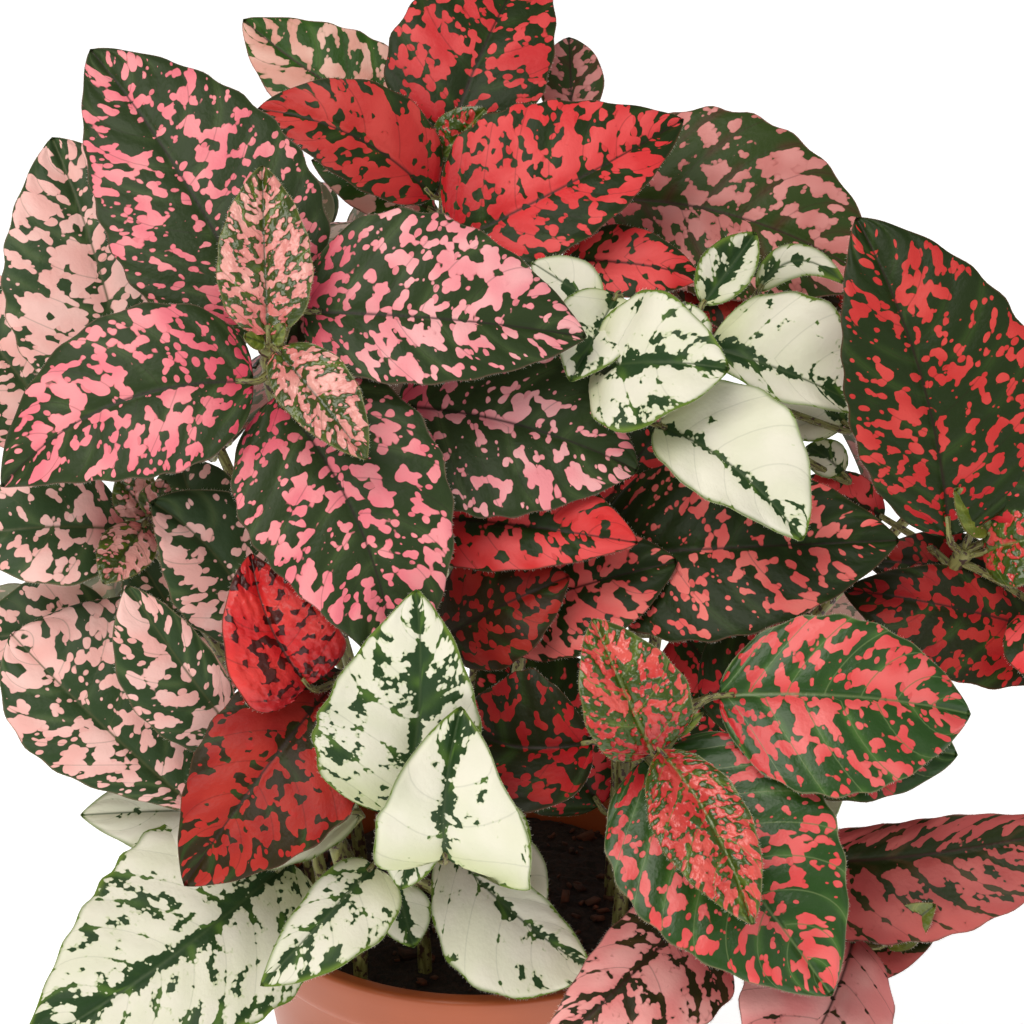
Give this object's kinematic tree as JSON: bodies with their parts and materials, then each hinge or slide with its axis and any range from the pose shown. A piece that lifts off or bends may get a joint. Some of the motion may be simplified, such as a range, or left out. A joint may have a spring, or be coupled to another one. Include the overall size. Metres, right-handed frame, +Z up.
{
  "type": "potted polka dot plant",
  "caption": "Low bushy houseplant of mixed polka dot stems with spotted pink, red and white leaves, standing in the soil of a small round tapered pot with a stepped rim.",
  "frame": {"origin": "centre of the pot's underside", "axes": "+Z up along the pot's axis, -Y toward the front, +X to the right as seen from the front"},
  "size_m": [0.2793, 0.2339, 0.2882],
  "materials": {
    "pot": "satin, terracotta colour",
    "soil": "rough loose potting soil",
    "leaf_pink": "dark green leaf with pink blotches",
    "leaf_blush": "green leaf with pale pink blotches",
    "leaf_red": "dark green leaf with red blotches",
    "leaf_scarlet": "green leaf with coral red blotches",
    "leaf_rose": "rose leaf with dark green streaks",
    "leaf_white": "cream white leaf with green veins and margins"
  },
  "bodies": {
    "root": {"pot": "pot", "soil": "soil", "stem_pink_front": "leaf_pink", "stem_blush_left": "leaf_blush", "stem_blush_low": "leaf_blush", "stem_red_low": "leaf_red", "stem_white_front": "leaf_white", "stem_white_low_front": "leaf_white", "stem_white_low_left": "leaf_white", "stem_red_centre": "leaf_red", "stem_red_right": "leaf_red", "stem_red_far_right": "leaf_red", "stem_scarlet_front": "leaf_scarlet", "stem_rose_low_right": "leaf_rose", "stem_white_centre": "leaf_white", "stem_white_right": "leaf_white", "stem_red_top": "leaf_red", "stem_rose_top_left": "leaf_rose", "stem_rose_top_right": "leaf_rose", "shoot_blush_side": "leaf_blush", "shoot_pink_back_left": "leaf_pink", "shoot_white_back_left": "leaf_white", "shoot_red_back": "leaf_red", "shoot_rose_back_right": "leaf_rose", "shoot_pink_side": "leaf_pink", "shoot_white_side": "leaf_white", "shoot_blush_top": "leaf_blush", "shoot_red_inner": "leaf_red"}
  },
  "joints": []
}
